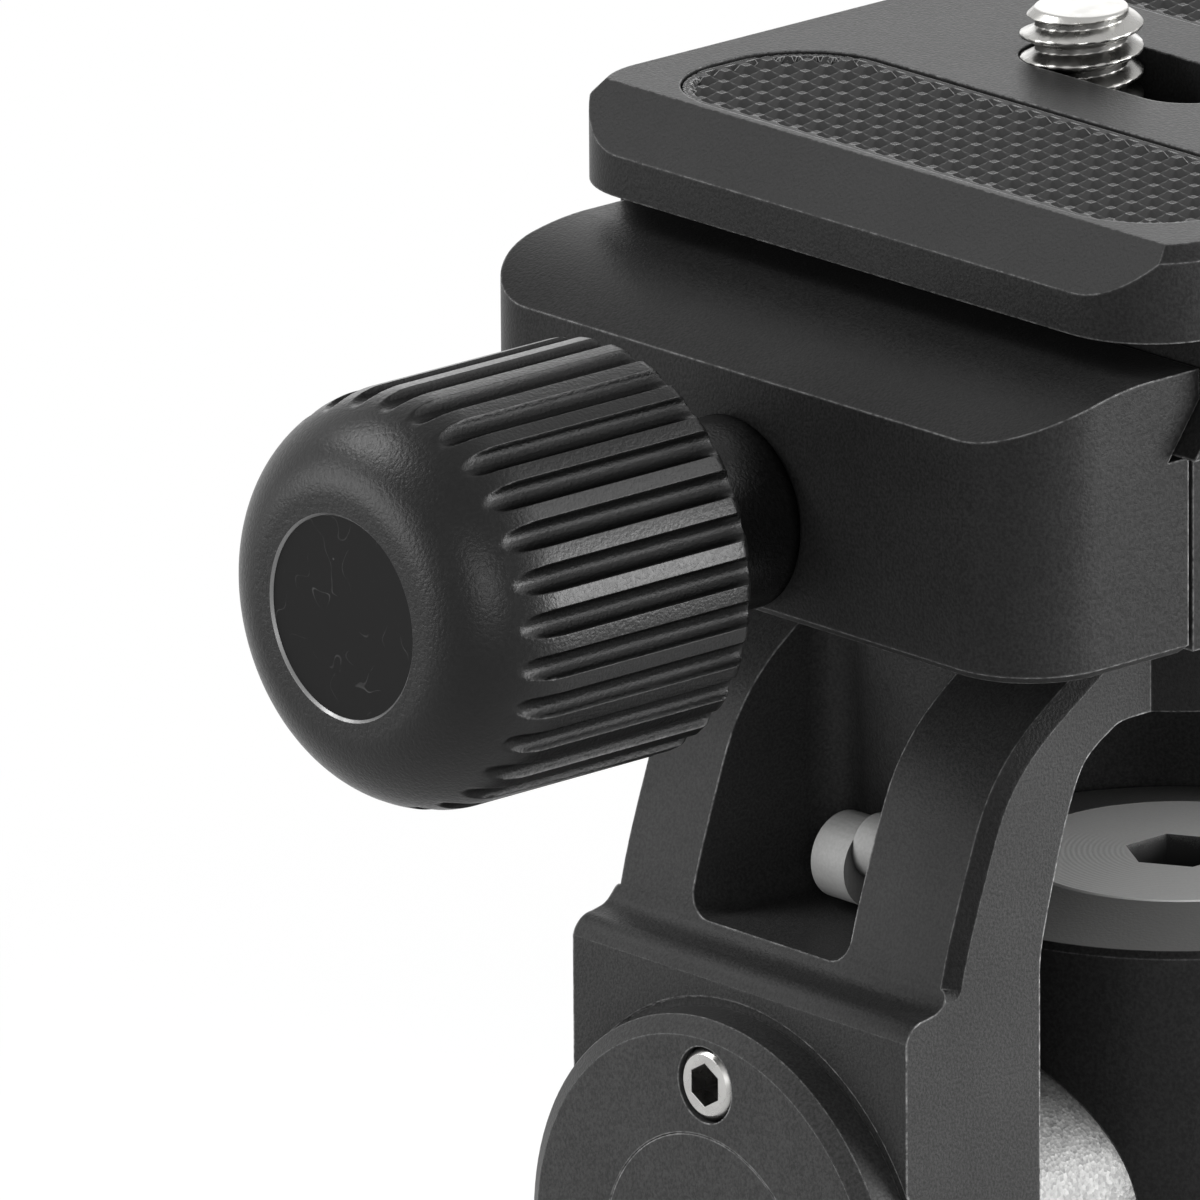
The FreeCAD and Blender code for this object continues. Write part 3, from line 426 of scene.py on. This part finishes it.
relief = add_node(tree, "ShaderNodeBump", {"Strength": 0.5, "Distance": 0.01 * MM},
                  {"Height": hair.outputs["Fac"]})
tree.links.new(relief.outputs["Normal"], surface.inputs["Normal"])
surface.inputs["Roughness"].default_value = 0.5
surface.inputs["IOR"].default_value = 1.19
dress(finish, "clamp_knob_cap", "tilt_knob_cap", "pan_knob_cap")


# The tilting yoke, the clamp body, its moving jaw and the round cover of the axle.
# All are milled from aluminium, blasted finely and anodised black.
# The bevels along the front of the arch are painted darker than the faces beside them: painted shade.
yoke_black = blasted_black("anodised_aluminium_yoke", "2b2b2b", "373737", "b4b4b4", roughness=0.4,
                           grain_mm=0.16, grain_depth_mm=0.036, edge_mm=0.18)
bevel_back_mm, bevel_lean, lean_span = -11.5, -0.61, 0.36
tree = yoke_black.node_tree
surface = tree.nodes["Principled BSDF"]
coords = add_node(tree, "ShaderNodeTexCoord").outputs
forward = add_node(tree, "ShaderNodeSeparateXYZ", links={"Vector": coords["Object"]}).outputs["Y"]
leaning = add_node(tree, "ShaderNodeSeparateXYZ", links={"Vector": coords["Normal"]}).outputs["Y"]
# Painted shade: the black of the arch's front bevels is scaled down to three tenths.
front = add_node(tree, "ShaderNodeMath", {1: bevel_back_mm * MM}, {0: forward}, operation="LESS_THAN")
bevel = add_node(tree, "ShaderNodeMath", {1: bevel_lean, 2: lean_span}, {0: leaning}, operation="COMPARE")
bevel_shade = add_node(tree, "ShaderNodeMath", links={0: front.outputs[0], 1: bevel.outputs[0]},
                  operation="MULTIPLY")
depth = add_node(tree, "ShaderNodeMapRange", {"To Min": 1.0, "To Max": 0.3}, {"Value": bevel_shade.outputs[0]})
dyed = surface.inputs["Base Color"].links[0].from_socket
darker = add_node(tree, "ShaderNodeVectorMath", links={0: dyed, "Scale": depth.outputs["Result"]},
                  operation="SCALE")
tree.links.new(darker.outputs["Vector"], surface.inputs["Base Color"])
dress(yoke_black, "yoke")

fine_anodised = blasted_black("anodised_aluminium_fine", "202020", "2a2a2a", "9c9c9c", roughness=0.38,
                              grain_mm=0.17, grain_depth_mm=0.026, edge_mm=0.18)
dress(fine_anodised, "clamp_body", "jaw", "plate")
cover_black = blasted_black("anodised_aluminium_cover", "313131", "3c3c3c", "a0a0a0", roughness=0.4,
                            grain_mm=0.17, grain_depth_mm=0.03, edge_mm=0.16)
dress(cover_black, "disc_cover", "disc_inlay")


# The two grip pads on the plate: moulded nitrile rubber with rows of small pyramids,
# 1.44 mm apart and a third of a millimetre high, whose ridges carry a painted highlight, a grey net.
finish, tree, surface, place = new_finish("nitrile_rubber_moulded")
skin = add_node(tree, "ShaderNodeTexNoise", {"Scale": 1 / (0.12 * MM), "Detail": 3.0}, {"Vector": place})
relief = add_node(tree, "ShaderNodeBump", {"Strength": 0.8, "Distance": 0.006 * MM},
                  {"Height": skin.outputs["Fac"]})
height = add_node(tree, "ShaderNodeSeparateXYZ", links={"Vector": place})
raised = add_node(tree, "ShaderNodeMapRange",
                  {"From Min": 95.56 * MM, "From Max": 95.64 * MM, "To Min": 0.0, "To Max": 1.0},
                  {"Value": height.outputs["Z"]})
rounded = add_node(tree, "ShaderNodeBevel", {"Radius": 0.09 * MM}, samples=6).outputs["Normal"]
flat = add_node(tree, "ShaderNodeNewGeometry").outputs["Normal"]
facing = add_node(tree, "ShaderNodeVectorMath", links={0: rounded, 1: flat}, operation="DOT_PRODUCT")
ridge = add_node(tree, "ShaderNodeMapRange",
                 {"From Min": 0.995, "From Max": 0.95, "To Min": 0.0, "To Max": 1.0},
                 {"Value": facing.outputs["Value"]})
# Painted highlight: the ridges of the raised tops are coloured pale grey.
ridge_highlight = add_node(tree, "ShaderNodeMath", links={0: raised.outputs["Result"], 1: ridge.outputs["Result"]},
               operation="MULTIPLY")
colour = add_node(tree, "ShaderNodeMix", {"A": paint("1f1f1f"), "B": paint("b4b4b4")},
                  {"Factor": ridge_highlight.outputs[0]},
                  data_type="RGBA")
tree.links.new(colour.outputs["Result"], surface.inputs["Base Color"])
tree.links.new(relief.outputs["Normal"], surface.inputs["Normal"])
surface.inputs["Roughness"].default_value = 0.55
surface.inputs["IOR"].default_value = 1.3
nitrile_rubber = finish


def make_pad(name, node):
    """Pad with pyramids on a square grid, clipped to its round-cornered outline."""
    low, high = box_mm(node)
    middle, half = (low + high) / 2, (high - low) / 2
    pitch, tip, rise, corner, proud = 1.44, 0.38, 0.34, 5.5, 0.16
    rim, band = 0.12, 0.6
    cuts = np.array([0.0, 0.04, 0.28, 0.49, 0.53, 0.57, 0.72, 0.87, 0.91, 0.95, 1.16, 1.4])
    columns = np.concatenate([pitch * k + cuts for k in range(-6, 6)])
    rows = np.concatenate([pitch * k + cuts for k in range(-15, 15)])
    x, y = np.meshgrid(columns, rows, indexing="ij")
    qx, qy = np.abs(x) - half.x + corner, np.abs(y) - half.y + corner
    outside = np.hypot(np.clip(qx, 0, None), np.clip(qy, 0, None))
    edge = outside + np.minimum(np.maximum(qx, qy), 0) - corner
    ramp_x = np.minimum(x % pitch, pitch - x % pitch)
    ramp_y = np.minimum(y % pitch, pitch - y % pitch)
    slope = rise / ((pitch - tip) / 2)
    z = np.minimum(np.minimum(ramp_x, ramp_y) * slope, rise)
    z = np.where(edge > -band, rise * np.clip(-edge / rim, 0, 1), z)
    kept = edge < rim
    number = -np.ones(x.shape, int)
    number[kept] = np.arange(kept.sum())
    gx, gy = np.gradient(edge, columns, rows, edge_order=1)
    pull = np.where(edge > -0.05, edge, 0)
    px, py = x - gx * pull, y - gy * pull
    base = high.z + proud - rise
    points = [(middle.x + a, middle.y + b, base + c) for a, b, c in zip(px[kept], py[kept], z[kept])]
    quads = np.stack([number[:-1, :-1], number[1:, :-1], number[1:, 1:], number[:-1, 1:]], -1).reshape(-1, 4)
    mesh = bpy.data.meshes.new(name)
    mesh.from_pydata([tuple(MM * c for c in p) for p in points], [], quads[(quads >= 0).all(1)].tolist())
    shape = bmesh.new()
    shape.from_mesh(mesh)
    rim = [e for e in shape.edges if e.is_boundary]
    skirt = bmesh.ops.extrude_edge_only(shape, edges=rim)["geom"]
    for vertex in (g for g in skirt if isinstance(g, bmesh.types.BMVert)):
        vertex.co.z = low.z * MM
    floor = [g for g in skirt if isinstance(g, bmesh.types.BMEdge) and g.is_boundary]
    bmesh.ops.contextual_create(shape, geom=floor)
    bmesh.ops.recalc_face_normals(shape, faces=shape.faces)
    shape.to_mesh(mesh)
    shape.free()
    mesh.shade_smooth()
    mesh.set_sharp_from_angle(angle=math.radians(25))
    mesh.materials.append(nitrile_rubber)
    pad = bpy.data.objects.new(name, mesh)
    bpy.context.scene.collection.objects.link(pad)
    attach(pad, "plate")
    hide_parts(node)


make_pad("pad_left_moulded", "pad_left")
make_pad("pad_right_moulded", "pad_right")


# The camera screw, quarter inch with twenty turns to the inch, rolled in stainless steel.
# Its thread is a true helix up to the chamfered tip, over a plain neck and a round head.
low, high = box_mm("camera_screw")
turn, pitch, major = 128, 1.27, 3.175
plate_top, screw_y, slot_web, gap = 96, 7.25, 5.6, 0.3
head_low, tip_z = low.z, high.z
head_top = head_low + 2.9
shank_low = plate_top - slot_web + gap
outline = [(0.0, head_low), (3.6, head_low), (7.2, head_low), (7.6, head_low + 0.4), (7.6, head_top - 0.4),
           (7.2, head_top), (2.4, head_top), (2.3, head_top + 0.1), (2.3, shank_low)]
outline += [(major, z) for z in np.arange(shank_low + 0.07, tip_z, 0.055)]
outline += [(2.2, tip_z), (0.9, tip_z), (0.0, tip_z)]
angles = np.linspace(0, 2 * math.pi, turn, endpoint=False)
points, rings = [], []
for r, z in outline:
    if r == 0.0:
        rings.append([len(points)])
        points.append((0.0, 0.0, z))
        continue
    radius = np.full(turn, r)
    if r == major:
        along = ((z - plate_top - 0.635) / pitch - angles / (2 * math.pi) + 0.5) % 1.0
        deep = np.clip((np.abs(along - 0.5) - 0.0625) / 0.31, 0, 1) * 0.78
        lead_in = min(tip_z - z + 2.35, z - shank_low + 2.3)
        radius = np.minimum(major - deep, max(lead_in, 2.3))
    rings.append(list(range(len(points), len(points) + turn)))
    points += list(zip(radius * np.cos(angles), radius * np.sin(angles), np.full(turn, z)))
faces = []
for lower, upper in zip(rings, rings[1:]):
    for k in range(turn):
        n = (k + 1) % turn
        if len(lower) == 1:
            faces.append((lower[0], upper[n], upper[k]))
        elif len(upper) == 1:
            faces.append((lower[k], lower[n], upper[0]))
        else:
            faces.append((lower[k], lower[n], upper[n], upper[k]))
mesh = bpy.data.meshes.new("camera_screw_rolled")
mesh.from_pydata([(x * MM, (y + screw_y) * MM, z * MM) for x, y, z in points], [], faces)
mesh.shade_smooth()
mesh.set_sharp_from_angle(angle=math.radians(40))
rolled_steel = bright_steel("stainless_steel_rolled", "a8a7a4", roughness=0.26, mark_mm=0.25,
                            mark_depth_mm=0.006)
mesh.materials.append(rolled_steel)
screw = bpy.data.objects.new("camera_screw_rolled", mesh)
bpy.context.scene.collection.objects.link(screw)
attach(screw, "camera_screw")
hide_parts("camera_screw")


# Floor: a wide pale sheet. Near the object it is matt paper that takes the shadow,
# and further out it fades into a plain white ground for the camera and for reflections.
def looking_rays(tree):
    """One for rays of the camera, of a reflection or through glass, nought for rays that light things."""
    rays = add_node(tree, "ShaderNodeLightPath").outputs
    seen = add_node(tree, "ShaderNodeMath", links={0: rays["Is Camera Ray"], 1: rays["Is Glossy Ray"]},
                    operation="MAXIMUM")
    seen = add_node(tree, "ShaderNodeMath", links={0: seen.outputs[0], 1: rays["Is Transmission Ray"]},
                    operation="MAXIMUM")
    return seen.outputs[0]


finish, tree, surface, place = new_finish("floor_paper_white")
surface.inputs["Base Color"].default_value = paint("ebebeb")
surface.inputs["Roughness"].default_value = 0.9
distance = add_node(tree, "ShaderNodeVectorMath", links={0: place}, operation="LENGTH")
fade = add_node(tree, "ShaderNodeMapRange", {"From Min": 0.1, "From Max": 0.2, "To Min": 0.0, "To Max": 1.0},
                {"Value": distance.outputs["Value"]}, interpolation_type="SMOOTHSTEP")
share = add_node(tree, "ShaderNodeMath", links={0: looking_rays(tree), 1: fade.outputs["Result"]},
                 operation="MULTIPLY")
white = add_node(tree, "ShaderNodeEmission", {"Color": (1, 1, 1, 1), "Strength": 1.0})
mixed = add_node(tree, "ShaderNodeMixShader",
                 links={0: share.outputs[0], 1: surface.outputs[0], 2: white.outputs[0]})
tree.links.new(mixed.outputs[0], tree.nodes["Material Output"].inputs["Surface"])
mesh = bpy.data.meshes.new("floor")
ring = [(4 * math.cos(a), 4 * math.sin(a), 0) for a in np.linspace(0, 2 * math.pi, 64, endpoint=False)]
mesh.from_pydata(ring, [], [tuple(range(64))])
mesh.materials.append(finish)
floor = bpy.data.objects.new("floor", mesh)
bpy.context.scene.collection.objects.link(floor)
floor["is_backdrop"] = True


# World: an even dim studio for the object, plain white where the camera or a reflection
# looks past the floor.
world = bpy.data.worlds.new("studio")
bpy.context.scene.world = world
world.use_nodes = True
tree = world.node_tree
back = tree.nodes["Background"]
back.inputs["Color"].default_value = (1, 1, 1, 1)
level = add_node(tree, "ShaderNodeMapRange",
                 {"From Min": 0.0, "From Max": 1.0, "To Min": 0.25, "To Max": 1.0},
                 {"Value": looking_rays(tree)})
tree.links.new(level.outputs["Result"], back.inputs["Strength"])


# Lamps: soft boxes on the right, left and behind, a small one beside the camera and a weak one
# at the back, which together light every side about as much as its colour is written.
def soft_box(name, place, aim, size, power):
    """Rectangular lamp that the camera does not see."""
    light = bpy.data.lights.new(name, "AREA")
    light.shape = "RECTANGLE"
    light.size, light.size_y = size
    light.energy = power
    lamp = bpy.data.objects.new(name, light)
    lamp.location = place
    lamp.rotation_mode = "QUATERNION"
    lamp.rotation_quaternion = (Vector(aim) - Vector(place)).to_track_quat("-Z", "Y")
    lamp.visible_camera = False
    bpy.context.scene.collection.objects.link(lamp)


soft_box("lamp_front", (-0.33, -0.33, 0.20), (-0.03, 0, 0.075), (0.16, 0.16), 0.45)
soft_box("lamp_right", (0.42, -0.42, 0.40), (0, 0, 0.065), (0.5, 0.5), 2.8)
soft_box("lamp_right_low", (0.22, -0.31, 0.10), (-0.02, 0, 0.07), (0.24, 0.16), 1.9)
soft_box("lamp_left", (-0.38, 0.26, 0.12), (0, 0, 0.065), (0.3, 0.2), 0.9)
soft_box("lamp_left_high", (-0.32, 0.4, 0.55), (0, 0, 0.065), (0.3, 0.3), 2.7)
soft_box("lamp_back", (0.44, 0.50, 0.28), (0, 0, 0.065), (0.42, 0.42), 0.75)


# The camera stands where the photograph was taken: far off, with a long lens, looking down
# by 17 degrees on the corner between the -X and -Y sides, tipped by 0.4 degree. It is placed so that
# the camera screw's axis meets the plate's top at its own pixel of the photograph.
turn, dip, tip = math.radians(-42.13), math.radians(17.14), math.radians(0.4)
back = Vector((math.sin(turn) * math.cos(dip), -math.cos(turn) * math.cos(dip), math.sin(dip)))
side = (-back).cross(Vector((0, 0, 1))).normalized()
down = (-back).cross(side)
right = math.cos(tip) * side + math.sin(tip) * down
below = -math.sin(tip) * side + math.cos(tip) * down
lens_px, px_per_mm, photo_px = 27000.0, 19.6, 1200
far = lens_px / px_per_mm * MM
screw_x_px, screw_y_px = 1081.6, 54.2
across = (screw_x_px - photo_px / 2) / lens_px * far
drop = (screw_y_px - photo_px / 2) / lens_px * far
spot = Vector((0, screw_y, plate_top)) * MM - right * across - below * drop + back * far
view = bpy.data.cameras.new("camera")
view.lens = lens_px / photo_px * view.sensor_width
view.clip_start, view.clip_end = 0.05, 20
camera = bpy.data.objects.new("camera", view)
camera.matrix_world = Matrix.Translation(spot) @ Matrix((right, -below, back)).transposed().to_4x4()
bpy.context.scene.collection.objects.link(camera)
bpy.context.scene.camera = camera
bpy.context.scene.view_settings.view_transform = "Standard"

low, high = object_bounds()
